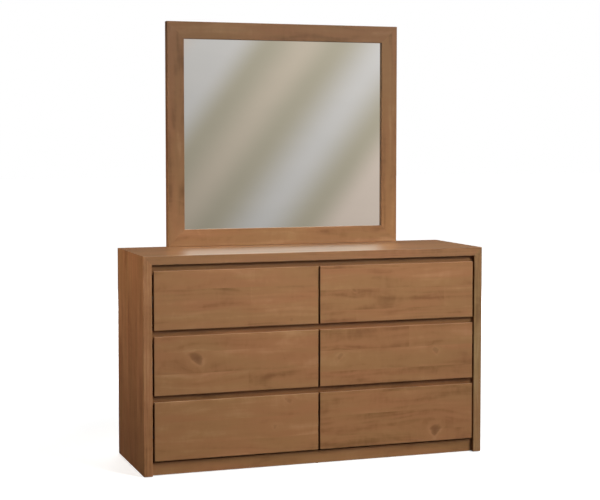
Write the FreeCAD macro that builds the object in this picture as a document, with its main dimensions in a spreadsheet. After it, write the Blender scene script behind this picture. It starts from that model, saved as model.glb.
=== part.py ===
import FreeCAD, Part
import math
import os
import re
import Sketcher

# Six-drawer dresser with a framed mirror standing on its top.
# X runs along the width, Y from the front to the back and Z up, in millimetres.
# The origin is on the floor at the middle of the whole piece, support boards behind the case included.

# Driving sizes. Each one is a cell of the spreadsheet, under the same name.
SIZES = {
    # Case panels, mitred where the sides meet the top
    "case_width": 1530,
    "case_depth": 490,
    "case_height": 914,
    "side_thickness": 37,
    "top_thickness": 37,
    "panel_ease": 2,
    # Base and inner frame
    "base_height": 56,
    "base_setback": 22,
    "base_gap": 8,
    "rail_thickness": 22,
    "rail_drop": 22,
    "rail_rise": 8,
    "rail_housing": 8,
    "bottom_thickness": 18,
    "partition_thickness": 22,
    "back_thickness": 6,
    "back_rabbet": 10,
    "rear_rail_thickness": 20,
    "rear_rail_height": 140,
    "glide_diameter": 18,
    "glide_height": 3,
    "glide_inset": 40,
    # Drawer fronts, pulled by the bevel behind their top edge
    "finger_gap": 25,
    "front_gap": 7,
    "front_thickness": 20,
    "front_clearance": 3,
    "front_ease": 3,
    "pull_lip": 8,
    "pull_drop": 14,
    # Dovetailed drawer boxes
    "box_rise": 14,
    "box_headroom": 8,
    "box_wall": 13,
    "rear_clearance": 9,
    "drawer_bottom_thickness": 6,
    "drawer_bottom_rise": 12,
    "groove_depth": 6,
    "pin_tip": 8,
    "pin_root": 13,
    # Telescopic slides of three nested channels
    "slide_space": 12.7,
    "slide_height": 45,
    "slide_wall": 1.2,
    "slide_play": 0.3,
    "slide_inset": 6,
    # Mirror frame, glass and backing
    "mirror_width": 1092,
    "mirror_height": 994,
    "mirror_member": 76,
    "mirror_thickness": 37,
    "mirror_lip": 12,
    "mirror_rabbet": 10,
    "mirror_ease": 2,
    "glass_thickness": 4,
    "glass_play": 1,
    "backing_thickness": 6,
    # Support boards and screws behind the mirror, clips on its backing
    "support_width": 60,
    "support_thickness": 20,
    "support_case_lap": 180,
    "support_mirror_lap": 560,
    "screw_diameter": 5,
    "screw_head": 10,
    "screw_bite": 22,
    "screw_margin": 45,
    "clip_width": 18,
    "clip_thickness": 1.5,
    "clip_reach": 13,
    "clip_play": 0.5,
    "clip_margin": 120,
}

ROWS = ("bottom", "middle", "top")
COLUMNS = ("left", "right")
PIN_SPACES = 4

# Sizes and places that follow from the driving ones.
FORMULAS = {
    "front_y": "-(case_depth + support_thickness) / 2",
    "case_back_y": "front_y + case_depth",
    "inner_width": "case_width - 2 * side_thickness",
    "housed_width": "inner_width + 2 * rail_housing",
    "underside": "case_height - top_thickness",
    "base_y": "front_y + base_setback",
    "rail_y": "front_y + front_thickness + front_clearance",
    "frame_y": "rail_y + rail_thickness",
    "rear_rail_y": "case_back_y - back_thickness - rear_rail_thickness",
    "lowest_front": "base_height + base_gap",
    "row_pitch": f"(underside - lowest_front) / {len(ROWS)}",
    "front_height": "row_pitch - finger_gap",
    "front_width": "(inner_width - 3 * front_gap) / 2",
    "column_width": "(inner_width - partition_thickness) / 2",
    "box_near": "partition_thickness / 2 + slide_space",
    "box_width": "column_width - 2 * slide_space",
    "box_y": "front_y + front_thickness",
    "box_length": "rear_rail_y - rear_clearance - box_y",
    "box_height": "front_height - box_rise - rail_drop - box_headroom",
    "panel_width": "box_width - 2 * (box_wall - groove_depth)",
    "panel_length": "box_length - 2 * (box_wall - groove_depth)",
    "pin_pitch": f"box_height / {PIN_SPACES}",
    "slide_y": "box_y + slide_inset",
    "slide_length": "box_length - 2 * slide_inset",
    "slide_step": "slide_wall + slide_play",
    "mirror_y": "case_back_y - mirror_thickness",
    "mirror_top": "case_height + mirror_height",
    "glass_y": "mirror_y + mirror_lip",
    "backing_y": "glass_y + glass_thickness",
    "clip_drop": "mirror_thickness - mirror_lip - glass_thickness - backing_thickness",
    "rabbet_inset": "mirror_member - mirror_rabbet",
    "glass_inset": "rabbet_inset + glass_play",
    "support_middle": "(mirror_width - mirror_member) / 2",
    "support_foot": "case_height - support_case_lap",
    "support_length": "support_case_lap + support_mirror_lap",
    "screw_length": "support_thickness + screw_bite",
    "screw_sink": "(screw_head - screw_diameter) / 2",
}

doc = FreeCAD.newDocument("dresser")
sheet = doc.addObject("Spreadsheet::Sheet", "sizes")
for row, (name, size) in enumerate(SIZES.items(), start=1):
    sheet.set(f"A{row}", name)
    sheet.set(f"B{row}", str(size))
    sheet.setAlias(f"B{row}", name)
doc.recompute()

nodes = []


def bound(formula):
    """Spells a formula of plain names out on the cells of the sheet."""
    def spell(match):
        name = match.group(0)
        return f"({bound(FORMULAS[name])})" if name in FORMULAS else f"sizes.{name}"
    return re.sub(r"[a-z][a-z_]*", spell, str(formula))


def bind(thing, **formulas):
    for name, formula in formulas.items():
        thing.setExpression(name, bound(formula))
    return thing


def place(thing, x, y, z):
    for axis, formula in zip("xyz", (x, y, z)):
        thing.setExpression(f"Placement.Base.{axis}", bound(formula))
    return thing


def node(label, thing):
    """Gives a finished sub-part its name and puts it among the pieces to write."""
    thing.Label = label
    nodes.append(thing)
    return thing


def board(corner, size):
    """A squared board from its lowest corner and its length, depth and height."""
    box = doc.addObject("Part::Box", "board")
    bind(box, Length=size[0], Width=size[1], Height=size[2])
    return place(box, *corner)


def joined(pieces):
    """One tool made of several pieces."""
    tool = doc.addObject("Part::MultiFuse", "joined")
    tool.Shapes = pieces
    return tool


def cut(base, tool):
    result = doc.addObject("Part::Cut", "cut")
    result.Base = base
    result.Tool = tool
    return result


def group(pieces):
    """Separate solids that share one node."""
    result = doc.addObject("Part::Compound", "group")
    result.Links = pieces
    return result


def outline(body, plane, corners):
    """A closed sketch of straight sides, with each corner at two named places."""
    sketch = body.newObject("Sketcher::SketchObject", "outline")
    origin = next(f for f in body.Origin.OriginFeatures if f.Role == plane)
    sketch.AttachmentSupport = (origin, [""])
    sketch.MapMode = "FlatFace"
    turn = 2 * math.pi / len(corners)
    start = [FreeCAD.Vector(math.cos(turn * i), math.sin(turn * i)) for i in range(len(corners))]
    for here, there in zip(start, start[1:] + start[:1]):
        sketch.addGeometry(Part.LineSegment(here, there))
    for side in range(len(corners)):
        after = (side + 1) % len(corners)
        sketch.addConstraint(Sketcher.Constraint("Coincident", side, 2, after, 1))
    for corner, (across, up) in enumerate(corners):
        for kind, at, formula in (("X", start[corner].x, across), ("Y", start[corner].y, up)):
            distance = Sketcher.Constraint(f"Distance{kind}", -1, 1, corner, 1, at)
            place_name = f"corner_{corner}_{kind.lower()}"
            sketch.renameConstraint(sketch.addConstraint(distance), place_name)
            sketch.setExpression(f"Constraints.{place_name}", bound(formula))
    return sketch


def pad(body, plane, corners, length):
    """Extrudes an outline along +X from the YZ plane or along +Y from the XZ plane."""
    feature = body.newObject("PartDesign::Pad", "pad")
    feature.Profile = outline(body, plane, corners)
    feature.Reversed = plane == "XZ_Plane"
    return bind(feature, Length=length)


def ease_front(body, radius):
    """Rounds the level and upright edges of a body's front face, and leaves mitred ends sharp."""
    doc.recompute()
    base = body.Tip
    low = base.Shape.BoundBox
    picked = []
    for number, edge in enumerate(base.Shape.Edges, start=1):
        box = edge.BoundBox
        at_front = box.YMax - low.YMin < 1e-6
        along_one_axis = min(box.XLength, box.ZLength) < 1e-6
        if at_front and along_one_axis:
            picked.append(f"Edge{number}")
    fillet = body.newObject("PartDesign::Fillet", "ease")
    fillet.Base = (base, picked)
    bind(fillet, Radius=radius)
    return body


def low_edge(column, near, width):
    """Lowest X of a piece that starts a given way from the middle, on one side of it."""
    return near if column == "right" else f"-({near}) - ({width})"


# Case frame

def level_rail(y, z, width, thickness, height):
    return board((f"-({width}) / 2", y, z), (width, thickness, height))


def front_rail(row):
    """Rail behind the finger gap above a row of drawers, let into both sides."""
    gap_foot = f"lowest_front + {row} * row_pitch + front_height"
    height = "rail_drop + finger_gap + rail_rise"
    return level_rail("rail_y", f"{gap_foot} - rail_drop", "housed_width", "rail_thickness", height)


def top_front_rail():
    height = "rail_drop + finger_gap"
    return level_rail("rail_y", f"underside - ({height})", "inner_width", "rail_thickness", height)


def base_board(y, thickness):
    return level_rail(y, "glide_height", "housed_width", thickness, "base_height - glide_height")


def case_floor():
    depth = "rear_rail_y - base_y - rail_thickness"
    foot = "base_height - bottom_thickness"
    return level_rail("base_y + rail_thickness", foot, "housed_width", depth, "bottom_thickness")


def back_board():
    width = "inner_width + 2 * back_rabbet"
    height = "underside + back_rabbet - glide_height"
    return level_rail("case_back_y - back_thickness", "glide_height", width, "back_thickness", height)


def partition():
    size = ("partition_thickness", "rear_rail_y - frame_y", "underside - base_height")
    return board(("-partition_thickness / 2", "frame_y", "base_height"), size)


def side_panel(column):
    """Side whose upper end is mitred from the outer to the inner corner."""
    out = "-1" if column == "right" else "1"
    height = "case_height - glide_height"
    thick = f"{out} * side_thickness"
    corners = [("0", "0"), (thick, "0"), (thick, f"{height} - top_thickness"), ("0", height)]
    body = doc.addObject("PartDesign::Body", "side")
    pad(body, "XZ_Plane", corners, "case_depth")
    ease_front(body, "panel_ease")
    return place(body, f"-({out}) * case_width / 2", "front_y", "glide_height")


def top_panel():
    inner = "case_width - side_thickness"
    corners = [("side_thickness", "0"), (inner, "0"), ("case_width", "top_thickness"), ("0", "top_thickness")]
    body = doc.addObject("PartDesign::Body", "top")
    pad(body, "XZ_Plane", corners, "case_depth")
    ease_front(body, "panel_ease")
    return place(body, "-case_width / 2", "front_y", "underside")


def floor_glide(x, y):
    glide = doc.addObject("Part::Cone", "glide")
    bind(glide, Radius1="glide_diameter / 2 - glide_height", Radius2="glide_diameter / 2", Height="glide_height")
    return place(glide, x, y, "0")


def floor_glides():
    side_x = "(case_width - side_thickness) / 2"
    ends = ("front_y + glide_inset", "case_back_y - glide_inset")
    spots = [(f"{sign} * {side_x}", y) for sign in (-1, 1) for y in ends]
    spots.append(("0", "base_y + rail_thickness / 2"))
    spots.append(("0", "rear_rail_y + rear_rail_thickness / 2"))
    return group([floor_glide(x, y) for x, y in spots])


# Mirror

def mitred_member(outer, inner_at):
    """Frame member with a lip in front of the glass. Its inner edge is a width in from the outer one."""
    body = doc.addObject("PartDesign::Body", "member")
    pad(body, "XZ_Plane", outer + inner_at("mirror_member"), "mirror_lip")
    pad(body, "XZ_Plane", outer + inner_at("rabbet_inset"), "mirror_thickness")
    ease_front(body, "mirror_ease")
    return place(body, "-mirror_width / 2", "mirror_y", "case_height")


def mirror_members():
    far, high = "mirror_width", "mirror_height"
    low_left, low_right = ("0", "0"), (far, "0")
    top_left, top_right = ("0", high), (far, high)

    def corner(at_right, at_top, inset):
        across = f"{far} - {inset}" if at_right else inset
        up = f"{high} - {inset}" if at_top else inset
        return (across, up)

    return {
        "mirror_stile_left": mitred_member(
            [top_left, low_left], lambda w: [corner(False, False, w), corner(False, True, w)]),
        "mirror_stile_right": mitred_member(
            [low_right, top_right], lambda w: [corner(True, True, w), corner(True, False, w)]),
        "mirror_rail_top": mitred_member(
            [top_right, top_left], lambda w: [corner(False, True, w), corner(True, True, w)]),
        "mirror_rail_bottom": mitred_member(
            [low_left, low_right], lambda w: [corner(True, False, w), corner(False, False, w)]),
    }


def mirror_sheet(y, thickness):
    """Glass or backing, a little smaller than the rabbet that holds it."""
    width = "mirror_width - 2 * glass_inset"
    height = "mirror_height - 2 * glass_inset"
    return level_rail(y, "case_height + glass_inset", width, thickness, height)


def support_board(sign):
    x = f"{sign} * support_middle - support_width / 2"
    return board((x, "case_back_y", "support_foot"), ("support_width", "support_thickness", "support_length"))


def wood_screw(x, z):
    """Countersunk screw that enters from behind and points to the front."""
    shank = doc.addObject("Part::Cylinder", "shank")
    bind(shank, Radius="screw_diameter / 2", Height="screw_length")
    head = doc.addObject("Part::Cone", "head")
    bind(head, Radius1="screw_head / 2", Radius2="screw_diameter / 2", Height="screw_sink")
    for piece in (shank, head):
        piece.Placement.Rotation = FreeCAD.Rotation(FreeCAD.Vector(1, 0, 0), 90)
        place(piece, x, "case_back_y + support_thickness", z)
    return joined([shank, head])


def support_screws():
    case_heights = ("underside - screw_margin", "underside - rear_rail_height + screw_margin")
    mirror_heights = (
        "case_height + screw_margin",
        "case_height + support_mirror_lap / 2",
        "case_height + support_mirror_lap - screw_margin",
    )
    screws = []
    for sign in (-1, 1):
        for height in case_heights + mirror_heights:
            screws.append(wood_screw(f"{sign} * support_middle", height))
    return group(screws)


def backing_clip(x, z, angle):
    """Stepped clip from the back of the frame down onto the backing."""
    step = "clip_play + clip_thickness"
    floor = "-clip_drop"
    corners = [
        ("0", "-clip_reach"),
        ("0", "clip_play"),
        (floor, "clip_play"),
        (floor, "clip_reach"),
        (f"{floor} + clip_thickness", "clip_reach"),
        (f"{floor} + clip_thickness", step),
        ("clip_thickness", step),
        ("clip_thickness", "-clip_reach"),
    ]
    body = doc.addObject("PartDesign::Body", "clip")
    pad(body, "YZ_Plane", corners, "clip_width").Midplane = True
    body.Placement.Rotation = FreeCAD.Rotation(FreeCAD.Vector(0, 1, 0), angle)
    return place(body, x, "case_back_y", z)


def backing_clips():
    """Three clips on each rail, and one on each stile above its support board."""
    edge_x = "mirror_width / 2 - rabbet_inset"
    along = "mirror_width / 2 - mirror_member - clip_margin"
    foot = "case_height + rabbet_inset"
    head = "mirror_top - rabbet_inset"
    clips = []
    for place_along in (-1, 0, 1):
        clips.append(backing_clip(f"{place_along} * ({along})", foot, 0))
        clips.append(backing_clip(f"{place_along} * ({along})", head, 180))
    for sign in (-1, 1):
        clips.append(backing_clip(f"{sign} * ({edge_x})", f"{head} - clip_margin", -90 * sign))
    return group(clips)


# Drawers

def drawer_front(row, column):
    """Front with eased edges and a bevel behind its top edge for the fingers."""
    corners = [
        ("0", "0"),
        ("front_thickness", "0"),
        ("front_thickness", "front_height - pull_drop"),
        ("pull_lip", "front_height"),
        ("0", "front_height"),
    ]
    body = doc.addObject("PartDesign::Body", "front")
    pad(body, "YZ_Plane", corners, "front_width")
    ease_front(body, "front_ease")
    x = low_edge(column, "front_gap / 2", "front_width")
    return place(body, x, "front_y", f"lowest_front + {row} * row_pitch")


def dovetail_pins(x, y, foot, flip):
    """Pins across one end of a box, narrow at the end of the side board and wide at its root."""
    narrow, wide = "pin_tip / 2", "pin_root / 2"
    near, far = (wide, narrow) if flip else (narrow, wide)
    pins = []
    for space in range(PIN_SPACES + 1):
        pin = doc.addObject("Part::Wedge", "pin")
        bind(pin, Xmin="0", X2min="0", Xmax="box_width", X2max="box_width", Ymin="0", Ymax="box_wall")
        bind(pin, Zmin=f"-{near}", Zmax=near, Z2min=f"-{far}", Z2max=far)
        pins.append(place(pin, x, y, f"{foot} + {space} * pin_pitch"))
    return pins


def drawer_box(row, column):
    """Sides with tails, ends with pins, and a bottom held in a groove all round."""
    x = low_edge(column, "box_near", "box_width")
    foot = f"lowest_front + {row} * row_pitch + box_rise"
    rear = "box_y + box_length - box_wall"
    side_size = ("box_wall", "box_length", "box_height")
    end_size = ("box_width", "box_wall", "box_height")
    inset = "box_wall - groove_depth"
    panel_corner = (f"{x} + {inset}", f"box_y + {inset}", f"{foot} + drawer_bottom_rise")
    panel = board(panel_corner, ("panel_width", "panel_length", "drawer_bottom_thickness"))
    pins = joined(dovetail_pins(x, "box_y", foot, False) + dovetail_pins(x, rear, foot, True))
    sides = []
    for side_x in (x, f"{x} + box_width - box_wall"):
        tails = cut(board((side_x, "box_y", foot), side_size), pins)
        sides.append(cut(tails, panel))
    ends = []
    for end_y in ("box_y", rear):
        pinned = cut(board((x, end_y, foot), end_size), joined(sides))
        ends.append(cut(pinned, panel))
    return group(sides), group(ends), panel


# Each member's span from the case wall towards the drawer, the span of its hollow, and how deep it is nested.
SLIDE_MEMBERS = {
    "case": (("0", "slide_space - slide_wall"), ("slide_wall", "slide_space"), 0),
    "middle": (("slide_step", "slide_space - slide_wall"), ("slide_step + slide_wall", "slide_space"), 1),
    "drawer": (("2 * slide_step", "slide_space"), ("slide_step", "slide_space - slide_wall"), 2),
}


def slide_block(row, column, at_partition, span, height):
    start, stop = span
    width = f"({stop}) - ({start})"
    near = f"partition_thickness / 2 + {start}" if at_partition else f"inner_width / 2 - ({stop})"
    middle = f"lowest_front + {row} * row_pitch + box_rise + box_height / 2"
    corner = (low_edge(column, near, width), "slide_y", f"{middle} - ({height}) / 2")
    return board(corner, (width, "slide_length", height))


def slide_pair(row, column, member):
    """The same channel on both sides of a drawer."""
    span, hollow_span, depth = SLIDE_MEMBERS[member]
    height = f"slide_height - {2 * depth} * slide_step"
    channels = []
    for at_partition in (True, False):
        solid = slide_block(row, column, at_partition, span, height)
        hollow = slide_block(row, column, at_partition, hollow_span, f"{height} - 2 * slide_wall")
        channels.append(cut(solid, hollow))
    return channels


# Assembly

base_rail = node("base_rail", base_board("base_y", "rail_thickness"))
rear_rail_bottom = node("rear_rail_bottom", base_board("rear_rail_y", "rear_rail_thickness"))
case_bottom = node("case_bottom", case_floor())
front_rail_lower = node("front_rail_lower", front_rail(0))
front_rail_upper = node("front_rail_upper", front_rail(1))
node("front_rail_top", top_front_rail())
node("center_partition", partition())
node("floor_glides", floor_glides())

screws = node("mirror_support_screws", support_screws())
back_blank = back_board()
node("back_panel", cut(back_blank, screws))
rear_blank = level_rail(
    "rear_rail_y", "underside - rear_rail_height", "inner_width", "rear_rail_thickness", "rear_rail_height")
node("rear_rail_top", cut(rear_blank, screws))
let_into_sides = joined(
    [base_rail, rear_rail_bottom, case_bottom, front_rail_lower, front_rail_upper, back_blank])
for column in COLUMNS:
    node(f"side_panel_{column}", cut(side_panel(column), let_into_sides))
node("top_panel", cut(top_panel(), back_blank))

for label, member in mirror_members().items():
    node(label, cut(member, screws) if "stile" in label else member)
node("mirror_glass", mirror_sheet("glass_y", "glass_thickness"))
node("mirror_backing", mirror_sheet("backing_y", "backing_thickness"))
for column, sign in zip(COLUMNS, (-1, 1)):
    node(f"mirror_support_{column}", cut(support_board(sign), screws))
node("backing_clips", backing_clips())

case_channels = []
for row, row_name in enumerate(ROWS):
    for column in COLUMNS:
        drawer = f"{row_name}_{column}"
        sides, ends, panel = drawer_box(row, column)
        node(f"{drawer}_drawer_front", drawer_front(row, column))
        node(f"{drawer}_drawer_sides", sides)
        node(f"{drawer}_drawer_ends", ends)
        node(f"{drawer}_drawer_bottom", panel)
        node(f"{drawer}_slide_inner", group(slide_pair(row, column, "drawer")))
        node(f"{drawer}_slide_middle", group(slide_pair(row, column, "middle")))
        case_channels += slide_pair(row, column, "case")
node("slide_case_members", group(case_channels))

doc.recompute()
for thing in doc.Objects:
    if {"Invalid", "Error"} & set(thing.State):
        raise RuntimeError(f"{thing.Label} failed to build: {thing.State}")
for piece in nodes:
    if piece.Shape.isNull() or not piece.Shape.isValid() or not piece.Shape.Solids:
        raise RuntimeError(f"{piece.Label} has no sound solid")

os.makedirs("parts", exist_ok=True)
for piece in nodes:
    piece.Shape.exportStep(os.path.join("parts", f"{piece.Label}.step"))
    print(piece.Label, len(piece.Shape.Solids), round(piece.Shape.Volume))
print(len(nodes), "nodes")
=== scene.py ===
import bpy
import math
import random
from mathutils import Matrix, Vector


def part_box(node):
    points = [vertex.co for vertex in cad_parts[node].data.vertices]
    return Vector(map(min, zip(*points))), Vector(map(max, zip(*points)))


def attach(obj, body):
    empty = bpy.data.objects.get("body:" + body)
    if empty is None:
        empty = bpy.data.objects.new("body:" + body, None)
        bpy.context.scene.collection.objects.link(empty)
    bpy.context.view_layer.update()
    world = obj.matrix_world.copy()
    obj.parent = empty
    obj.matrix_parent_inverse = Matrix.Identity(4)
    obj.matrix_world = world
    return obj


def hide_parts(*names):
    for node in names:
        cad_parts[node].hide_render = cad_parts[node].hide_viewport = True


# Satin brown dresser with six handle-free drawers and a framed mirror, dressed over its solids.
# Everything is in metres, in the frame of the solids: X to the right, Y to the back, Z up.

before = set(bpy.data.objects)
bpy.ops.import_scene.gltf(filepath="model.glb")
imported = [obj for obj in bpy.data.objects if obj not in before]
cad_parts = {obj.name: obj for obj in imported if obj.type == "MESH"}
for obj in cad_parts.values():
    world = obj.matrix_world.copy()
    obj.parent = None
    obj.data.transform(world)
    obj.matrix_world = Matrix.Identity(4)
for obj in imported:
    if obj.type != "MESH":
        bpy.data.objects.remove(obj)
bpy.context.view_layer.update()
scene = bpy.context.scene

MM = 0.001
ROWS = ("bottom", "middle", "top")
COLUMNS = ("left", "right")
DRAWERS = [f"{row}_{column}" for row in ROWS for column in COLUMNS]


# Node helpers

def add(tree, kind, inputs=None, **settings):
    """Adds a node, sets its options, and fills each named input with a value or a link."""
    made = tree.nodes.new(kind)
    for name, value in settings.items():
        setattr(made, name, value)
    for name, value in (inputs or {}).items():
        if isinstance(value, bpy.types.NodeSocket):
            tree.links.new(value, made.inputs[name])
        else:
            made.inputs[name].default_value = value
    return made


def calc(tree, operation, first, second=0.0, third=0.0):
    """One step of arithmetic on numbers."""
    return add(tree, "ShaderNodeMath", {0: first, 1: second, 2: third}, operation=operation).outputs[0]


def stretch(tree, vector, scales):
    """A vector with its own scale along each axis."""
    return add(tree, "ShaderNodeVectorMath", {0: vector, 1: scales}, operation="MULTIPLY").outputs[0]


def cloud(tree, vector, scales, detail=2.0, roughness=0.5, distortion=0.0):
    """Noise around zero. The scales are its features per metre along each axis."""
    inputs = {"Vector": stretch(tree, vector, scales), "Scale": 1.0, "Detail": detail}
    inputs.update({"Roughness": roughness, "Distortion": distortion})
    return calc(tree, "SUBTRACT", add(tree, "ShaderNodeTexNoise", inputs).outputs["Fac"], 0.5)


def blend_colour(tree, amount, first, second, kind="MIX"):
    """Goes from one colour to another by an amount, or lays the second over the first by another blend."""
    mixer = add(tree, "ShaderNodeMix", data_type="RGBA", blend_type=kind)
    sockets = {socket.name: socket for socket in mixer.inputs if socket.enabled}
    for name, value in (("Factor", amount), ("A", first), ("B", second)):
        if isinstance(value, bpy.types.NodeSocket):
            tree.links.new(value, sockets[name])
        else:
            sockets[name].default_value = value
    return next(socket for socket in mixer.outputs if socket.enabled)


def ease_between(tree, value, low, high):
    """A number that goes smoothly from 0 where the value is low to 1 where it is high."""
    inputs = {"Value": value, "From Min": low, "From Max": high}
    return add(tree, "ShaderNodeMapRange", inputs, interpolation_type="SMOOTHSTEP").outputs[0]


def new_group(name, inputs, outputs):
    """An empty shader group with named sockets: (name, socket kind, default)."""
    tree = bpy.data.node_groups.new(name, "ShaderNodeTree")
    for label, kind, value in inputs:
        socket = tree.interface.new_socket(label, in_out="INPUT", socket_type=kind)
        if value is not None:
            socket.default_value = value
    for label, kind in outputs:
        tree.interface.new_socket(label, in_out="OUTPUT", socket_type=kind)
    return tree, tree.nodes.new("NodeGroupInput").outputs, tree.nodes.new("NodeGroupOutput").inputs


def new_material(name):
    """A material, its tree and its surface shader."""
    material = bpy.data.materials.new(name)
    material.use_nodes = True
    tree = material.node_tree
    return material, tree, tree.nodes["Principled BSDF"]


def linear(red, green, blue):
    """A screen colour, 0 to 255, as the linear colour that a shader takes."""
    def one(value):
        value /= 255
        return value / 12.92 if value <= 0.04045 else ((value + 0.055) / 1.055) ** 2.4
    return (one(red), one(green), one(blue), 1.0)


# Wood

# How strongly a board shows its rings, fine streaks and blotches of stain, unless its own values are given
PLAIN_RING, PLAIN_STREAK, PLAIN_BLOTCH = 0.1, 0.2, 0.95
# Length of a board with no joint along the grain
UNJOINED = 30.0


def wood_figure():
    """Figure of glued solid wood: X along the grain, Y across the face, Z into the board."""
    stave_play, board_play, pith_aside = 5.0, 9.0, 0.12
    pith_depth, pith_play = 0.045, 0.05
    ring_width, ring_sway, ring_edge = 0.013, 0.07, 1.6
    broad_share, curl_share, fibre_share, stave_contrast = 0.7, 0.3, 0.8, 0.22
    satin, streak_gloss, fibre_height = 0.42, 0.16, 0.6
    number, colour = "NodeSocketFloat", "NodeSocketColor"
    tree, given, result = new_group(
        "wood_figure",
        [("Vector", "NodeSocketVector", None), ("Board", number, 1.0), ("Length", number, UNJOINED),
         ("Tone", number, 0.0), ("Bend", number, 0.0), ("Knot", number, 0.0), ("Pale", number, 0.0),
         ("Ring", number, PLAIN_RING), ("Streak", number, PLAIN_STREAK), ("Blotch", number, PLAIN_BLOTCH),
         ("Dark", colour, None), ("Middle", colour, None), ("Light", colour, None)],
        [("Color", colour), ("Gloss", number), ("Height", number)])
    axes = add(tree, "ShaderNodeSeparateXYZ", {0: given["Vector"]}).outputs
    cell = calc(tree, "DIVIDE", axes["Y"], given["Board"])
    row = calc(tree, "FLOOR", cell)
    log = add(tree, "ShaderNodeTexWhiteNoise", {"W": row}, noise_dimensions="1D").outputs
    shift = add(tree, "ShaderNodeSeparateXYZ", {0: log["Color"]}).outputs
    stave = calc(tree, "DIVIDE", axes["X"], given["Length"])
    stave = calc(tree, "MULTIPLY_ADD", log["Value"], stave_play, stave)
    place = add(tree, "ShaderNodeCombineXYZ", {0: row, 1: calc(tree, "FLOOR", stave)}).outputs[0]
    chance = add(tree, "ShaderNodeTexWhiteNoise", {"Vector": place}, noise_dimensions="2D").outputs["Value"]
    along = calc(tree, "MULTIPLY_ADD", shift["X"], board_play, axes["X"])
    in_board = calc(tree, "SUBTRACT", calc(tree, "SUBTRACT", cell, row), 0.5)
    across = calc(tree, "MULTIPLY_ADD", in_board, given["Board"], given["Bend"])
    across = calc(tree, "MULTIPLY_ADD", calc(tree, "SUBTRACT", shift["Y"], 0.5), pith_aside, across)
    depth = calc(tree, "ADD", axes["Z"], calc(tree, "MULTIPLY_ADD", shift["Z"], pith_play, pith_depth))
    point = add(tree, "ShaderNodeCombineXYZ", {0: along, 1: across, 2: depth}).outputs[0]

    sway = cloud(tree, point, (1.6, 5.0, 5.0), detail=2.0)
    from_pith = add(tree, "ShaderNodeCombineXYZ", {0: 0.0, 1: across, 2: depth}).outputs[0]
    radius = add(tree, "ShaderNodeVectorMath", {0: from_pith}, operation="LENGTH").outputs["Value"]
    radius = calc(tree, "MULTIPLY_ADD", sway, ring_sway, radius)
    wave = calc(tree, "SINE", calc(tree, "MULTIPLY", radius, 2 * math.pi / ring_width))
    late_wood = calc(tree, "POWER", calc(tree, "MULTIPLY_ADD", wave, 0.5, 0.5), ring_edge)
    ring = calc(tree, "MULTIPLY", late_wood, -1.0)

    blotch = cloud(tree, point, (3.4, 15.0, 15.0), detail=3.0, roughness=0.5, distortion=1.0)
    broad = cloud(tree, point, (1.6, 19.0, 19.0), detail=2.0, roughness=0.5, distortion=0.4)
    curl = cloud(tree, point, (26.0, 11.0, 11.0), detail=2.0, distortion=1.2)
    streak = cloud(tree, point, (2.6, 160.0, 160.0), detail=3.0, roughness=0.6)
    fibre = cloud(tree, point, (18.0, 1300.0, 1300.0), detail=2.0)
    tone = calc(tree, "ADD", calc(tree, "ADD", given["Tone"], given["Pale"]), 0.5)
    for part, amount in (
            (blotch, given["Blotch"]),
            (broad, calc(tree, "MULTIPLY", given["Blotch"], broad_share)),
            (curl, calc(tree, "MULTIPLY", given["Blotch"], curl_share)),
            (streak, given["Streak"]),
            (ring, given["Ring"]),
            (fibre, calc(tree, "MULTIPLY", given["Streak"], fibre_share)),
            (calc(tree, "SUBTRACT", chance, 0.5), stave_contrast)):
        tone = calc(tree, "MULTIPLY_ADD", part, amount, tone)

    shade = blend_colour(tree, ease_between(tree, tone, 0.0, 0.5), given["Dark"], given["Middle"])
    shade = blend_colour(tree, ease_between(tree, tone, 0.5, 1.0), shade, given["Light"])
    hue = cloud(tree, point, (2.2, 13.0, 13.0), detail=2.0, distortion=0.5)
    greener, redder, knot_brown = (0.97, 1.02, 0.98, 1), (1.03, 0.98, 0.99, 1), (0.05, 0.014, 0.006, 1)
    cast = blend_colour(tree, ease_between(tree, hue, -0.2, 0.2), greener, redder)
    shade = blend_colour(tree, 1.0, shade, cast, "MULTIPLY")
    heart = blend_colour(tree, 0.5, given["Dark"], knot_brown)
    shade = blend_colour(tree, given["Knot"], shade, heart)
    tree.links.new(shade, result["Color"])
    tree.links.new(calc(tree, "MULTIPLY_ADD", streak, streak_gloss, satin), result["Gloss"])
    tree.links.new(calc(tree, "MULTIPLY_ADD", fibre, fibre_height, streak), result["Height"])
    return tree


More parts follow.
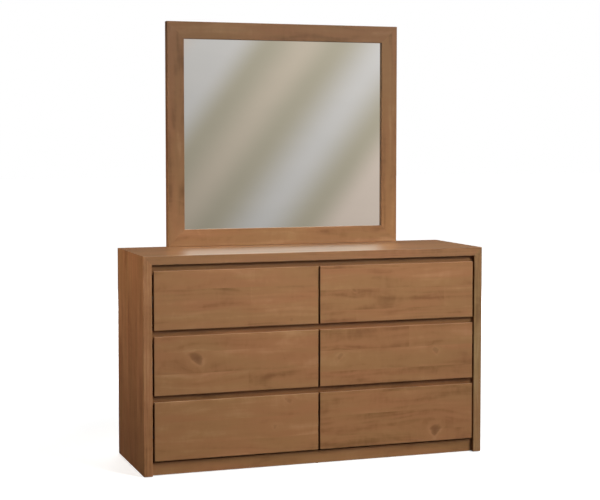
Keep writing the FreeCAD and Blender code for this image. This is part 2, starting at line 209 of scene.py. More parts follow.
def knot_figure():
    """A drop-shaped knot at a place on the face: how far it bends the grain around it, how much it shows
    and the paler wood around it, each joined with what the knots before it gave."""
    tip_width, end_width, ragged = 0.35, 1.15, 0.022
    heart_share, halo_share, bend_reach, flatness = 0.35, 0.4, 1.9, 0.7
    number = "NodeSocketFloat"
    tree, given, result = new_group(
        "knot_figure",
        [("Vector", "NodeSocketVector", None), ("Place", "NodeSocketVector", None), ("Size", number, 0.01),
         ("Lean", number, 0.0), ("Depth", number, 0.4), ("Bend", number, 0.0), ("Knot", number, 0.0),
         ("Pale", number, 0.0)],
        [("Bend", number), ("Knot", number), ("Pale", number)])
    away = add(tree, "ShaderNodeVectorMath", {0: given["Vector"], 1: given["Place"]}, operation="SUBTRACT")
    axes = add(tree, "ShaderNodeSeparateXYZ", {0: away.outputs[0]}).outputs
    size = given["Size"]
    aside = calc(tree, "MULTIPLY_ADD", axes["Y"], given["Lean"], axes["X"])
    taper = add(tree, "ShaderNodeMapRange", {
        "Value": calc(tree, "DIVIDE", axes["Y"], size), "From Min": -1.4, "From Max": 1.0,
        "To Min": tip_width, "To Max": end_width}).outputs[0]
    aside = calc(tree, "DIVIDE", aside, taper)
    edge = calc(tree, "SQRT", calc(tree, "MULTIPLY_ADD", aside, aside, calc(tree, "POWER", axes["Y"], 2.0)))
    wander = cloud(tree, given["Vector"], (44.0, 52.0, 52.0), detail=3.0)
    share = calc(tree, "DIVIDE", calc(tree, "MULTIPLY_ADD", wander, ragged, edge), size)
    heart, whole = ease_between(tree, share, 0.9, 0.0), ease_between(tree, share, 1.3, 0.75)
    shown = calc(tree, "MULTIPLY", calc(tree, "MULTIPLY_ADD", heart, heart_share, whole), given["Depth"])
    halo = calc(tree, "MULTIPLY", given["Depth"], halo_share)
    around = calc(tree, "MULTIPLY", ease_between(tree, share, 2.6, 1.3), halo)
    tree.links.new(calc(tree, "MAXIMUM", around, given["Pale"]), result["Pale"])
    tree.links.new(calc(tree, "MAXIMUM", shown, given["Knot"]), result["Knot"])
    reach = calc(tree, "POWER", calc(tree, "MULTIPLY", size, bend_reach), 2.0)
    flat = stretch(tree, away.outputs[0], (flatness, 1.0, 0.0))
    square = add(tree, "ShaderNodeVectorMath", {0: flat, 1: flat}, operation="DOT_PRODUCT").outputs["Value"]
    spread_out = calc(tree, "MULTIPLY_ADD", reach, 0.5, square)
    bend = calc(tree, "MULTIPLY", axes["Y"], calc(tree, "DIVIDE", reach, spread_out))
    tree.links.new(calc(tree, "SUBTRACT", given["Bend"], bend), result["Bend"])
    return tree


WOOD = wood_figure()
KNOT = knot_figure()
AXIS = {"x": Vector((1, 0, 0)), "y": Vector((0, 1, 0)), "z": Vector((0, 0, 1))}
LOG_LENGTH, FIRST_BOARD, LAST_BOARD = 40, 3, 90
SHEEN, LACQUER_ROUGHNESS = 0.3, 0.25
RELIEF, RELIEF_DEPTH = 0.12, 0.4 * MM
chance = random.Random(41)


def wood(node, grain, board, palette, length=UNJOINED, seam=0.0, knots=(), tone=0.0, tint=(1, 1, 1),
         lacquer=0.0, ring=PLAIN_RING, streak=PLAIN_STREAK, blotch=PLAIN_BLOTCH):
    """Wood for one solid. grain names its axes along the grain and across the face. board and length are the
    size of each glued board. seam is the place of a glue line across the face. Each knot has its place along
    and across, a size, a lean and a depth of colour. Places are from the middle of the solid."""
    material, tree, surface = new_material(node)
    along, across = AXIS[grain[0]], AXIS[grain[1]]
    turn = Matrix((along, across, along.cross(across)))
    low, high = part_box(node)
    middle = turn @ ((Vector(low) + Vector(high)) / 2)
    along_start = chance.uniform(0, LOG_LENGTH)
    across_start = board * chance.randrange(FIRST_BOARD, LAST_BOARD) - seam
    start = Vector((along_start, across_start, 0))
    where = add(tree, "ShaderNodeMapping", {
        "Vector": add(tree, "ShaderNodeTexCoord").outputs["Object"],
        "Rotation": turn.to_euler(),
        "Location": start - middle}).outputs[0]
    bend, heart, pale = 0.0, 0.0, 0.0
    for reach, rise, size, lean, depth in knots:
        spot = add(tree, "ShaderNodeGroup", {
            "Vector": where, "Place": start + Vector((reach, rise, 0)), "Size": size, "Lean": lean,
            "Depth": depth, "Bend": bend, "Knot": heart, "Pale": pale}, node_tree=KNOT).outputs
        bend, heart, pale = spot["Bend"], spot["Knot"], spot["Pale"]
    dark, mid, light = (tuple(c * t for c, t in zip(shade, tint)) + (1.0,) for shade in palette)
    figure = add(tree, "ShaderNodeGroup", {
        "Vector": where, "Board": board, "Length": length, "Tone": tone,
        "Bend": bend, "Knot": heart, "Pale": pale, "Ring": ring, "Streak": streak, "Blotch": blotch,
        "Dark": dark, "Middle": mid, "Light": light}, node_tree=WOOD).outputs
    tree.links.new(figure["Color"], surface.inputs["Base Color"])
    tree.links.new(figure["Gloss"], surface.inputs["Roughness"])
    surface.inputs["Specular IOR Level"].default_value = SHEEN
    surface.inputs["Coat Weight"].default_value = lacquer
    surface.inputs["Coat Roughness"].default_value = LACQUER_ROUGHNESS
    relief = add(tree, "ShaderNodeBump", {
        "Strength": RELIEF, "Distance": RELIEF_DEPTH, "Height": figure["Height"]})
    tree.links.new(relief.outputs[0], surface.inputs["Normal"])
    return material


# Dark, middle and light tone of each wood
STAINED = (linear(118, 79, 48), linear(146, 104, 69), linear(164, 122, 86))
MAPLE = (linear(186, 148, 104), linear(216, 182, 138), linear(232, 204, 166))
FRAMING = (linear(166, 124, 84), linear(198, 158, 114), linear(216, 180, 138))
PLYWOOD = (linear(172, 130, 86), linear(206, 168, 122), linear(222, 190, 148))


def recolour(material, axis, test, limit, colour, kind="MIX"):
    """Gives the part of a board past a limit along an axis another colour, or another cast of its own."""
    tree = material.node_tree
    base = tree.nodes["Principled BSDF"].inputs["Base Color"]
    where = add(tree, "ShaderNodeTexCoord").outputs["Object"]
    past = calc(tree, test, add(tree, "ShaderNodeSeparateXYZ", {0: where}).outputs[axis], limit)
    tree.links.new(blend_colour(tree, past, base.links[0].from_socket, colour, kind), base)
    return material


# Cast of the end grain, and how far a face's own colour reaches into its solid
END_GRAIN = {"front": (0.42, 0.36, 0.3, 1), "box": (0.72, 0.66, 0.58, 1)}
SKIN, FACE, DARK_EDGE_AND_GAP_SHADE = 0.3 * MM, 1 * MM, 2 * MM


def darken_ends(material, node, axis, cast):
    """Gives the two end-grain faces of a solid, across one axis, the deeper colour that they soak up."""
    low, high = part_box(node)
    number = "XYZ".index(axis)
    recolour(material, axis, "LESS_THAN", low[number] + SKIN, cast, "MULTIPLY")
    return recolour(material, axis, "GREATER_THAN", high[number] - SKIN, cast, "MULTIPLY")


def dress(node, material):
    """Gives a solid one material all over."""
    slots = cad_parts[node].data.materials
    slots.clear()
    slots.append(material)


# Width of the glued boards. A rail, box piece or sheet is narrower than its board, so it has no glue line.
PANEL_BOARD, FRONT_BOARD, RAIL_BOARD, BOX_BOARD, SHEET = 0.114, 0.09, 0.2, 0.3, 3.0
FRONT_STAVE = 0.6

# Painted reflection on the top's lacquered upper face, a cooler cast, and painted shade on the right panel's
# front edge
TOP_PAINTED_REFLECTION, RIGHT_EDGE_PAINTED_SHADE = (0.98, 1.07, 1.16, 1), (0.86, 1.0, 1.02, 1)
# What both side panels share
SIDES = {"board": PANEL_BOARD, "palette": STAINED, "streak": 1.4, "blotch": 1.15}

# Grain, tint and blotches of each stained frame piece and rail; every tint but the base rail's is painted
# shade
FRAME_PIECES_WITH_PAINTED_SHADE = {
    # Painted shade: the mirror's pieces are tinted darker by how little light falls on each, the left stile
    # and top rail most
    "mirror_stile_left": ("zx", (0.85, 0.86, 0.88), 1.3),
    "mirror_stile_right": ("zx", (0.98, 0.97, 0.94), 1.3),
    "mirror_rail_top": ("xz", (0.86, 0.86, 0.84), PLAIN_BLOTCH),
    "mirror_rail_bottom": ("xz", (0.93, 0.95, 0.95), 1.2),
    "base_rail": ("xz", (1, 1, 1), PLAIN_BLOTCH),
    # Painted shade: the rails behind the drawer fronts are tinted darker to stand in for the shade in the
    # finger gaps, the top one most
    "front_rail_top": ("xz", (0.78, 0.74, 0.7), PLAIN_BLOTCH),
    "front_rail_upper": ("xz", (0.95, 0.9, 0.85), PLAIN_BLOTCH),
    "front_rail_lower": ("xz", (0.95, 0.9, 0.85), PLAIN_BLOTCH),
}

# Tone, glue line and knots of each drawer front
FRONTS = {
    "top_left": (0.05, -0.045, [(0.237, -0.1, 0.006, 0.0, 0.15)]),
    "top_right": (-0.05, 0.02, [(-0.2, 0.012, 0.01, 0.8, 0.22)]),
    "middle_left": (0.0, -0.035, [(-0.177, 0.024, 0.026, 0.5, 0.5)]),
    "middle_right": (0.03, 0.03, [(0.182, 0.005, 0.013, 0.3, 0.25), (-0.268, 0.002, 0.013, -0.4, 0.22)]),
    "bottom_left": (0.08, 0.035, [(0.226, 0.095, 0.013, 0.6, 0.2), (0.162, -0.011, 0.008, 0.0, 0.18)]),
    "bottom_right": (-0.04, 0.02, [(0.181, -0.074, 0.023, -0.15, 0.52)]),
}


def dress_case():
    """Gives every wooden solid of the case and mirror its own board of wood, some with painted shade and
    painted reflection in their tints and casts.
    """
    # Painted shade: the top is tinted darker and less red than the fronts. Painted reflection: its upper face
    # gets a cooler, greyer cast
    top = wood("top_panel", "xy", PANEL_BOARD, STAINED, tone=-0.05, tint=(0.9, 0.86, 0.84), lacquer=0.5)
    upper_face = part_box("top_panel")[1][2] - FACE
    dress("top_panel", recolour(top, "Z", "GREATER_THAN", upper_face, TOP_PAINTED_REFLECTION, "MULTIPLY"))
    dress("side_panel_left", wood("side_panel_left", "zy", tint=(1.02, 0.99, 0.99), **SIDES))
    right = wood("side_panel_right", "zy", **SIDES)
    # Painted shade: the right panel's front edge gets a darker, less red cast
    front_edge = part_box("side_panel_right")[0][1] + FACE
    dress("side_panel_right", recolour(right, "Y", "LESS_THAN", front_edge, RIGHT_EDGE_PAINTED_SHADE, "MULTIPLY"))
    for node, (grain, tint, blotch) in FRAME_PIECES_WITH_PAINTED_SHADE.items():
        dress(node, wood(node, grain, RAIL_BOARD, STAINED, seam=RAIL_BOARD / 2, tint=tint, blotch=blotch))
    for node, grain in (("mirror_support_left", "zx"), ("mirror_support_right", "zx"),
                        ("rear_rail_top", "xz"), ("rear_rail_bottom", "xz")):
        dress(node, wood(node, grain, RAIL_BOARD, FRAMING, seam=RAIL_BOARD / 2))
    # Painted shade: the front 2 mm of each sheet takes the dark stain, as a stained edge and to stand in for
    # the shade in the gaps between the drawer fronts
    for node, grain in (("back_panel", "xz"), ("case_bottom", "xy"), ("center_partition", "zy")):
        board = wood(node, grain, SHEET, PLYWOOD, seam=SHEET / 2, ring=0.3)
        dress(node, recolour(board, "Y", "LESS_THAN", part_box(node)[0][1] + DARK_EDGE_AND_GAP_SHADE, STAINED[0]))


def dress_drawers():
    """Gives every drawer front its figured boards and every drawer box its pale wood."""
    for drawer in DRAWERS:
        front = f"{drawer}_drawer_front"
        tone, seam, knots = FRONTS[drawer]
        board = wood(front, "xz", FRONT_BOARD, STAINED, length=FRONT_STAVE, seam=seam, knots=knots, tone=tone)
        dress(front, darken_ends(board, front, "X", END_GRAIN["front"]))
        for piece, grain, end in (("sides", "yz", "Y"), ("ends", "xz", "X")):
            node = f"{drawer}_drawer_{piece}"
            board = wood(node, grain, BOX_BOARD, MAPLE, seam=BOX_BOARD / 2)
            dress(node, darken_ends(board, node, end, END_GRAIN["box"]))
        node = f"{drawer}_drawer_bottom"
        dress(node, wood(node, "xy", SHEET, PLYWOOD, seam=SHEET / 2, ring=0.25))


# Glass, board and metal

def mirror_silver():
    """Silvered glass with faint wiping marks."""
    material, tree, surface = new_material("mirror_silver")
    where = add(tree, "ShaderNodeTexCoord").outputs["Object"]
    haze = cloud(tree, where, (2.0, 2.0, 5.0), detail=4.0, distortion=1.0)
    wiped, clear = (0.9, 0.91, 0.905, 1), (0.93, 0.935, 0.93, 1)
    tint = blend_colour(tree, ease_between(tree, haze, -0.3, 0.3), wiped, clear)
    tree.links.new(tint, surface.inputs["Base Color"])
    tree.links.new(calc(tree, "MULTIPLY_ADD", haze, 0.01, 0.02), surface.inputs["Roughness"])
    surface.inputs["Metallic"].default_value = 1.0
    return material


def hardboard():
    """Pressed brown board with a fine fleck."""
    material, tree, surface = new_material("hardboard")
    where = add(tree, "ShaderNodeTexCoord").outputs["Object"]
    fleck = cloud(tree, where, (420.0, 420.0, 420.0), detail=3.0, roughness=0.7)
    patch = cloud(tree, where, (4.0, 4.0, 4.0), detail=3.0)
    tone = calc(tree, "MULTIPLY_ADD", patch, 0.5, calc(tree, "MULTIPLY_ADD", fleck, 0.9, 0.5))
    brown = blend_colour(tree, tone, linear(92, 62, 40), linear(134, 96, 66))
    tree.links.new(brown, surface.inputs["Base Color"])
    surface.inputs["Roughness"].default_value = 0.62
    relief = add(tree, "ShaderNodeBump", {"Strength": 0.2, "Distance": 0.3 * MM, "Height": fleck})
    tree.links.new(relief.outputs[0], surface.inputs["Normal"])
    return material


def zinc(name, colour, lines):
    """Plated steel with fine drawing lines along one axis and dull patches."""
    material, tree, surface = new_material(name)
    where = add(tree, "ShaderNodeTexCoord").outputs["Object"]
    drawn = cloud(tree, where, lines, detail=3.0, roughness=0.6)
    patch = cloud(tree, where, (30.0, 30.0, 30.0), detail=3.0)
    tone = calc(tree, "MULTIPLY_ADD", patch, 0.6, calc(tree, "MULTIPLY_ADD", drawn, 0.6, 0.5))
    dullness = 0.72
    dark = tuple(dullness * c for c in colour[:3]) + (1.0,)
    tree.links.new(blend_colour(tree, tone, dark, colour), surface.inputs["Base Color"])
    tree.links.new(calc(tree, "MULTIPLY_ADD", drawn, 0.2, 0.34), surface.inputs["Roughness"])
    surface.inputs["Metallic"].default_value = 0.6
    relief = add(tree, "ShaderNodeBump", {"Strength": 0.08, "Distance": 0.2 * MM, "Height": drawn})
    tree.links.new(relief.outputs[0], surface.inputs["Normal"])
    return material


def nylon():
    """Moulded brown nylon with a fine grain."""
    material, tree, surface = new_material("nylon")
    where = add(tree, "ShaderNodeTexCoord").outputs["Object"]
    grain = cloud(tree, where, (900.0, 900.0, 900.0), detail=2.0)
    brown = blend_colour(tree, calc(tree, "ADD", grain, 0.5), linear(96, 78, 60), linear(122, 102, 82))
    tree.links.new(brown, surface.inputs["Base Color"])
    surface.inputs["Roughness"].default_value = 0.5
    relief = add(tree, "ShaderNodeBump", {"Strength": 0.15, "Distance": 0.1 * MM, "Height": grain})
    tree.links.new(relief.outputs[0], surface.inputs["Normal"])
    return material


def dress_rest():
    """Gives the glass, its backing, the glides and everything of steel their materials."""
    dress("mirror_glass", mirror_silver())
    dress("mirror_backing", hardboard())
    dress("floor_glides", nylon())
    slide_steel = zinc("slide_steel", (0.62, 0.63, 0.64, 1.0), (900.0, 6.0, 900.0))
    for drawer in DRAWERS:
        dress(f"{drawer}_slide_inner", slide_steel)
        dress(f"{drawer}_slide_middle", slide_steel)
    dress("slide_case_members", slide_steel)
    fastener_steel = zinc("fastener_steel", (0.66, 0.61, 0.5, 1.0), (300.0, 300.0, 300.0))
    dress("mirror_support_screws", fastener_steel)
    dress("backing_clips", fastener_steel)


dress_case()
dress_drawers()
dress_rest()


# Screws and bumpers

HEAD_SIDES, SHANK_SIDES, PAD_SIDES = 16, 8, 14
SPREAD_SEED = 5


def new_spread(name, sizes):
    """An empty tree that sets copies of a small part on the points of a mesh, with named sizes."""
    tree = bpy.data.node_groups.new(name, "GeometryNodeTree")
    tree.interface.new_socket("Places", in_out="INPUT", socket_type="NodeSocketGeometry")
    for label, value in sizes:
        socket = tree.interface.new_socket(label, in_out="INPUT", socket_type="NodeSocketFloat")
        socket.default_value = value
    tree.interface.new_socket("Seed", in_out="INPUT", socket_type="NodeSocketInt").default_value = SPREAD_SEED
    tree.interface.new_socket("Finish", in_out="INPUT", socket_type="NodeSocketMaterial")
    tree.interface.new_socket("Parts", in_out="OUTPUT", socket_type="NodeSocketGeometry")
    return tree, tree.nodes.new("NodeGroupInput").outputs


def end_spread(tree, given, part):
    """Sets the part on every point, its top towards the back and turned by chance, as plain geometry."""
    half_turn = {2: 0.0, 3: math.pi, "Seed": given["Seed"]}
    turn = add(tree, "FunctionNodeRandomValue", half_turn, data_type="FLOAT").outputs[1]
    facing = add(tree, "ShaderNodeCombineXYZ", {0: -math.pi / 2, 1: turn, 2: 0.0}).outputs[0]
    copies = add(tree, "GeometryNodeInstanceOnPoints", {
        "Points": given["Places"], "Instance": part, "Rotation": facing}).outputs[0]
    plain = add(tree, "GeometryNodeRealizeInstances", {0: copies}).outputs[0]
    finished = add(tree, "GeometryNodeSetMaterial", {
        "Geometry": plain, "Material": given["Finish"]}).outputs[0]
    tree.links.new(finished, tree.nodes.new("NodeGroupOutput").inputs[0])
    return tree


def lifted(tree, part, height):
    """A part moved up along its own axis."""
    rise = add(tree, "ShaderNodeCombineXYZ", {2: height}).outputs[0]
    return add(tree, "GeometryNodeTransform", {"Geometry": part, "Translation": rise}).outputs[0]


def cone(tree, sides, low, high, height):
    """A round part that goes from one radius at its foot to another at its top."""
    return add(tree, "GeometryNodeMeshCone", {
        "Vertices": sides, "Radius Bottom": low, "Radius Top": high, "Depth": height}).outputs["Mesh"]


def screw_tree():
    """Cross-recessed screw: a shank, and a head between two radii whose top stands a rise above its place."""
    tree, given = new_spread("cross_head_screws", (
        ("Under", 4 * MM), ("Over", 3 * MM), ("Height", 2 * MM), ("Rise", 2 * MM),
        ("Shank", 14 * MM), ("Thickness", 3 * MM)))
    foot = calc(tree, "SUBTRACT", given["Rise"], given["Height"])
    head = lifted(tree, cone(tree, HEAD_SIDES, given["Under"], given["Over"], given["Height"]), foot)
    reach = calc(tree, "MULTIPLY", given["Over"], 1.3)
    slot = calc(tree, "MULTIPLY", given["Over"], 0.32)
    sink = calc(tree, "MULTIPLY", given["Height"], 1.2)
    cross = []
    for across, along in ((reach, slot), (slot, reach)):
        size = add(tree, "ShaderNodeCombineXYZ", {0: across, 1: along, 2: sink}).outputs[0]
        blade = add(tree, "GeometryNodeMeshCube", {"Size": size}).outputs[0]
        cross.append(lifted(tree, blade, given["Rise"]))
    cutter = add(tree, "GeometryNodeMeshBoolean", {}, operation="DIFFERENCE", solver="EXACT")
    tree.links.new(head, cutter.inputs["Mesh 1"])
    for blade in cross:
        tree.links.new(blade, cutter.inputs["Mesh 2"])
    width = calc(tree, "MULTIPLY", given["Thickness"], 0.5)
    tip = calc(tree, "MULTIPLY", width, 0.3)
    shank = cone(tree, SHANK_SIDES, tip, width, given["Shank"])
    shank = lifted(tree, shank, calc(tree, "SUBTRACT", foot, given["Shank"]))
    whole = tree.nodes.new("GeometryNodeJoinGeometry")
    for part in (shank, cutter.outputs["Mesh"]):
        tree.links.new(part, whole.inputs[0])
    return end_spread(tree, given, whole.outputs[0])


def bumper_tree():
    """Soft round pad with a sloping edge."""
    tree, given = new_spread("soft_bumpers", (("Radius", 3.3 * MM), ("Height", 2.4 * MM)))
    wall = calc(tree, "MULTIPLY", given["Height"], 0.6)
    pad = cone(tree, PAD_SIDES, given["Radius"], given["Radius"], wall)
    rim = calc(tree, "MULTIPLY", given["Radius"], 0.72)
    crown = cone(tree, PAD_SIDES, given["Radius"], rim, calc(tree, "SUBTRACT", given["Height"], wall))
    whole = tree.nodes.new("GeometryNodeJoinGeometry")
    for part in (pad, lifted(tree, crown, wall)):
        tree.links.new(part, whole.inputs[0])
    return end_spread(tree, given, whole.outputs[0])


def spread(name, tree, places, body, slot, finish, **sizes):
    """Makes one plain mesh of all the copies on a body."""
    mesh = bpy.data.meshes.new(f"{name}_places")
    mesh.from_pydata(places, [], [])
    piece = bpy.data.objects.new(name, mesh)
    scene.collection.objects.link(piece)
    maker = piece.modifiers.new("maker", "NODES")
    maker.node_group = tree
    wanted = {"Finish": finish, **sizes}
    for socket in tree.interface.items_tree:
        if socket.in_out == "INPUT" and socket.name in wanted:
            maker[socket.identifier] = wanted[socket.name]
    made = bpy.data.meshes.new_from_object(piece.evaluated_get(bpy.context.evaluated_depsgraph_get()))
    piece.modifiers.clear()
    piece.data = made
    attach(piece, body)
    return piece


def rubber():
    """Soft dark rubber with a fine grain."""
    material, tree, surface = new_material("bumper_rubber")
    where = add(tree, "ShaderNodeTexCoord").outputs["Object"]
    grain = cloud(tree, where, (1500.0, 1500.0, 1500.0), detail=2.0)
    dark = blend_colour(tree, calc(tree, "ADD", grain, 0.5), linear(52, 46, 42), linear(70, 63, 58))
    tree.links.new(dark, surface.inputs["Base Color"])
    surface.inputs["Roughness"].default_value = 0.75
    return material


# Sizes of the screws that aren't plain ones
SUPPORT_SCREW = {"Under": 2.5 * MM, "Over": 5 * MM, "Height": 2.5 * MM, "Rise": 0.0, "Shank": 39.5 * MM,
                 "Thickness": 5 * MM}
CLIP_SCREW = {"Under": 3 * MM, "Over": 2.4 * MM, "Height": 1.6 * MM, "Rise": 1.6 * MM, "Shank": 12 * MM,
              "Thickness": 2.5 * MM}
FRONT_SCREW = {"Shank": 26 * MM}

# Places of the support screws and clips, as the solids have them: the clips lie over the edges of the backing
SUPPORT_SCREW_HEIGHTS = (0.782, 0.832, 0.959, 1.194, 1.429)
BACKING_FOOT, BACKING_HEAD, BACKING_SIDE = 0.980, 1.842, 0.480
CLIP_COLUMNS, SIDE_CLIP_HEIGHT, CLIP_HOLE = (-0.35, 0.0, 0.35), 1.722, 0.008


def back_panel_spots(support_x):
    """Places along the rims and the middle of the back panel, but none that a mirror support covers."""
    row_count, row_inset, foot_inset, head_inset = 10, 0.06, 0.03, 0.016
    column_count, column_start, column_step, column_inset = 5, 0.17, 0.15, 5 * MM
    support_reach = 0.045
    low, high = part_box("back_panel")
    face, foot, head = high[1], low[2] + foot_inset, high[2] - head_inset
    span = high[0] - low[0] - 2 * row_inset
    spots = []
    for i in range(row_count):
        x = low[0] + row_inset + i * span / (row_count - 1)
        spots.append((x, face, foot))
        if abs(abs(x) - support_x) > support_reach:
            spots.append((x, face, head))
    columns = (low[0] + column_inset, 0.0, high[0] - column_inset)
    heights = [low[2] + column_start + i * column_step for i in range(column_count)]
    return spots + [(x, face, z) for x in columns for z in heights]


def clip_spots():
    """Places of the screws in the backing clips."""
    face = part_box("backing_clips")[1][1]
    spots = [(x, face, z) for x in CLIP_COLUMNS for z in (BACKING_FOOT - CLIP_HOLE, BACKING_HEAD + CLIP_HOLE)]
    return spots + [(side * (BACKING_SIDE + CLIP_HOLE), face, SIDE_CLIP_HEIGHT) for side in (-1, 1)]


def fit_case(screws, steel):
    """Screws of the back panel, the clips and the mirror supports. These last replace plain screw solids."""
    low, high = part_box("mirror_support_right")
    support_x = (low[0] + high[0]) / 2
    spots = [(side * support_x, high[1], z) for side in (-1, 1) for z in SUPPORT_SCREW_HEIGHTS]
    support = spread("support_screws", screws, spots, "case", "zinc_steel", steel, **SUPPORT_SCREW)
    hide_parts("mirror_support_screws")
    spread("back_panel_screws", screws, back_panel_spots(support_x), "case", "zinc_steel", steel)
    spread("clip_screws", screws, clip_spots(), "case", "zinc_steel", steel, **CLIP_SCREW)


def fit_drawer(drawer, screws, bumpers, steel, black):
    """Screws that hold a drawer's front from inside its box, and bumpers behind the front's upper corners."""
    box_wall, screw_inset, screw_foot, screw_head = 13 * MM, 0.12, 0.055, 0.05
    bumper_inset, bumper_drop = 0.03, 18 * MM
    low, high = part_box(f"{drawer}_drawer_ends")
    spots = [(x, low[1] + box_wall, z) for x in (low[0] + screw_inset, high[0] - screw_inset)
             for z in (low[2] + screw_foot, high[2] - screw_head)]
    spread(f"{drawer}_front_screws", screws, spots, f"{drawer}_drawer", "zinc_steel", steel, **FRONT_SCREW)
    low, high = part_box(f"{drawer}_drawer_front")
    spots = [(x, high[1], high[2] - bumper_drop) for x in (low[0] + bumper_inset, high[0] - bumper_inset)]
    spread(f"{drawer}_bumpers", bumpers, spots, f"{drawer}_drawer", "glide_nylon", black)


def fit_fasteners():
    """All the screws and bumpers, body by body."""
    screws, bumpers, black = screw_tree(), bumper_tree(), rubber()
    steel = bpy.data.materials["fastener_steel"]
    fit_case(screws, steel)
    for drawer in DRAWERS:
        fit_drawer(drawer, screws, bumpers, steel, black)


fit_fasteners()


# Studio

def stage_sheet(name, corners):
    """A flat sheet of the studio, which isn't part of the dresser."""
    mesh = bpy.data.meshes.new(name)
    mesh.from_pydata(corners, [], [tuple(range(len(corners)))])
    sheet = bpy.data.objects.new(name, mesh)
    scene.collection.objects.link(sheet)
    return sheet


def studio_floor():
    """Pale floor: white to the camera, with a soft shadow near the dresser, and dull to the light off it."""
    half, shadow_end, white_start = 40.0, 0.9, 2.2
    shadowed, front_start, front_end, front_glow = 0.57, -0.8, -2.2, 0.4
    dull, pale = (0.12, 0.1, 0.085, 1), (0.7, 0.75, 0.79, 1)
    floor = stage_sheet("floor", [(-half, -half, 0), (half, -half, 0), (half, half, 0), (-half, half, 0)])
    material, tree, surface = new_material("pale_floor")
    path = add(tree, "ShaderNodeLightPath").outputs
    seen, mirrored = path["Is Camera Ray"], path["Is Glossy Ray"]
    surface.inputs["Roughness"].default_value = 0.9
    surface.inputs["Specular IOR Level"].default_value = 0.0
    tree.links.new(blend_colour(tree, seen, dull, pale), surface.inputs["Base Color"])
    surface.inputs["Emission Color"].default_value = (1, 1, 1, 1)
    where = add(tree, "ShaderNodeTexCoord").outputs["Object"]
    away = add(tree, "ShaderNodeVectorMath", {0: where}, operation="LENGTH").outputs["Value"]
    depth = add(tree, "ShaderNodeSeparateXYZ", {0: where}).outputs["Y"]
    outside = ease_between(tree, away, shadow_end, white_start)
    white = calc(tree, "MULTIPLY_ADD", outside, 1 - shadowed, shadowed)
    in_front = calc(tree, "MULTIPLY", mirrored, ease_between(tree, depth, front_start, front_end))
    glow = calc(tree, "MULTIPLY_ADD", in_front, front_glow, calc(tree, "MULTIPLY", seen, white))
    tree.links.new(glow, surface.inputs["Emission Strength"])
    floor.data.materials.append(material)


def studio_world():
    """White behind the object, and a dim even surround for everything that is lit by it."""
    world = bpy.data.worlds.new("studio")
    world.use_nodes = True
    tree = world.node_tree
    tree.nodes.clear()
    seen = add(tree, "ShaderNodeLightPath").outputs
    surround, gloss, white = (
        add(tree, "ShaderNodeBackground", {"Color": (1, 1, 1, 1), "Strength": strength}).outputs[0]
        for strength in (0.1, 0.06, 1.0))
    lit = add(tree, "ShaderNodeMixShader", {0: seen["Is Glossy Ray"], 1: surround, 2: gloss}).outputs[0]
    both = add(tree, "ShaderNodeMixShader", {0: seen["Is Camera Ray"], 1: lit, 2: white}).outputs[0]
    tree.links.new(both, add(tree, "ShaderNodeOutputWorld").inputs["Surface"])
    scene.world = world


def reflected_wall():
    """Wall in front of the dresser that only mirrors and gloss see: soft slanting bands of grey and beige."""
    y, half, foot, head = -8.527, 14.0, -1.0, 12.0
    corners = [(-half, y, foot), (-half, y, head), (half, y, head), (half, y, foot)]
    wall = stage_sheet("reflected_wall", corners)
    wall.visible_camera = wall.visible_diffuse = wall.visible_shadow = wall.visible_transmission = False
    material, tree, surface = new_material("slanting_bands")
    slant, across_start, along_start, repeat = math.radians(-37), 1.504, 2.902, 3.3
    eye_level, upper_level, top_level, cool = 2.5, 4.5, 6.5, (0.38, 0.42, 0.4, 1)
    where = add(tree, "ShaderNodeTexCoord").outputs["Object"]
    height = add(tree, "ShaderNodeSeparateXYZ", {0: where}).outputs["Z"]
    slanted = add(tree, "ShaderNodeMapping", {
        "Vector": where, "Rotation": (0, slant, 0),
        "Location": (repeat / 2 - across_start, 0, -along_start)}).outputs[0]
    axes = add(tree, "ShaderNodeSeparateXYZ", {0: slanted}).outputs
    share = calc(tree, "FRACT", calc(tree, "DIVIDE", axes["X"], repeat))
    ramp = add(tree, "ShaderNodeValToRGB", {"Fac": share})
    ramp.color_ramp.interpolation = "EASE"
    grey, khaki, beige, sand = (185, 182, 179), (160, 153, 136), (177, 166, 150), (191, 177, 165)
    bands = ((0.0, sand), (0.1, grey), (0.18, grey), (0.28, khaki), (0.382, beige), (0.47, khaki),
             (0.612, grey), (0.737, khaki), (0.838, sand), (1.0, sand))
    steps = ramp.color_ramp.elements
    while len(steps) < len(bands):
        steps.new(0.5)
    for step, (place, colour) in zip(steps, bands):
        step.position = place
        step.color = linear(*colour)
    surface.inputs["Base Color"].default_value = (0, 0, 0, 1)
    surface.inputs["Specular IOR Level"].default_value = 0.0
    rise = add(tree, "ShaderNodeMapRange", {
        "Value": axes["Z"], "From Min": -2.0, "From Max": 2.0, "To Min": 0.72, "To Max": 1.5}).outputs[0]
    above = add(tree, "ShaderNodeMapRange", {
        "Value": height, "From Min": eye_level, "From Max": top_level,
        "To Min": 1.0, "To Max": 7.0}).outputs[0]
    tree.links.new(calc(tree, "MULTIPLY", rise, above), surface.inputs["Emission Strength"])
    upper = ease_between(tree, height, eye_level, upper_level)
    cooler = blend_colour(tree, upper, ramp.outputs["Color"], cool)
    tree.links.new(cooler, surface.inputs["Emission Color"])
    wall.data.materials.append(material)


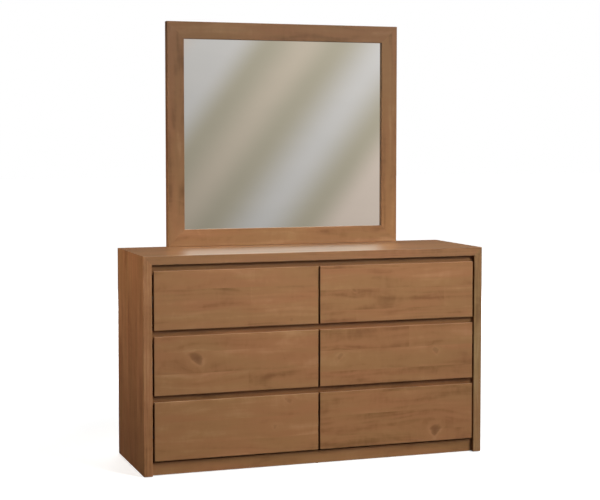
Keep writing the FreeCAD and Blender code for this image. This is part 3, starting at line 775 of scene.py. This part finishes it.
def soft_box(name, place, aim, size, power, colour=(1, 1, 1), spread=180, in_gloss=False):
    """Rectangular soft light that faces a point."""
    light = bpy.data.lights.new(name, "AREA")
    light.shape = "RECTANGLE"
    light.size, light.size_y = size
    light.energy = power
    light.color = colour
    light.spread = math.radians(spread)
    lamp = bpy.data.objects.new(name, light)
    lamp.location = place
    lamp.rotation_euler = (Vector(aim) - Vector(place)).to_track_quat("-Z", "Y").to_euler()
    lamp.visible_camera, lamp.visible_glossy = False, in_gloss
    scene.collection.objects.link(lamp)


def studio_lights():
    """Two keys from the front right, a narrow band of light, and fills from the sides, above and behind."""
    middle, warm, amber = (0.0, -0.1, 0.8), (1.0, 0.975, 0.925), (1.0, 0.84, 0.7)
    soft_box("key", (2.2, -3.6, 4.6), (-0.15, -0.24, 0.4), (1.8, 3.2), 20.7, warm, spread=46)
    soft_box("low_key", (2.8, -5.2, 3.1), (-0.15, -0.24, 0.2), (1.4, 2.6), 22.3, warm, spread=56)
    soft_box("middle_band", (0.3, -4.8, 3.2), (0.0, 0.0, 0.88), (3.0, 0.3), 1.05, warm, spread=12)
    soft_box("left_fill", (-2.6, 0.1, 2.6), (-0.77, 0, 0.95), (1.0, 1.0), 7.0, amber, spread=50)
    soft_box("right_fill", (1.7, 1.0, 2.6), (0.66, 0, 0.914), (1.0, 1.0), 4.2, spread=40)
    soft_box("overhead", (-0.2, -0.4, 4.8), middle, (3.0, 2.0), 15, in_gloss=True)
    soft_box("rear", (1.5, 6.5, 1.9), middle, (3.0, 2.0), 300)


def photo_camera():
    """View from the left of the middle, tilted down a little, with a small lens shift."""
    data = bpy.data.cameras.new("camera")
    data.sensor_width = 36.0
    data.lens = 87.547
    data.shift_y = -0.05
    camera = bpy.data.objects.new("camera", data)
    camera.location = (-2.1117, -6.0632, 1.4106)
    turn, tilt = math.radians(19.217), math.radians(3.35)
    camera.rotation_euler = (math.pi / 2 - tilt, 0.0, -turn)
    scene.collection.objects.link(camera)
    scene.camera = camera


studio_floor()
studio_world()
reflected_wall()
studio_lights()
photo_camera()
scene.view_settings.view_transform = "Standard"
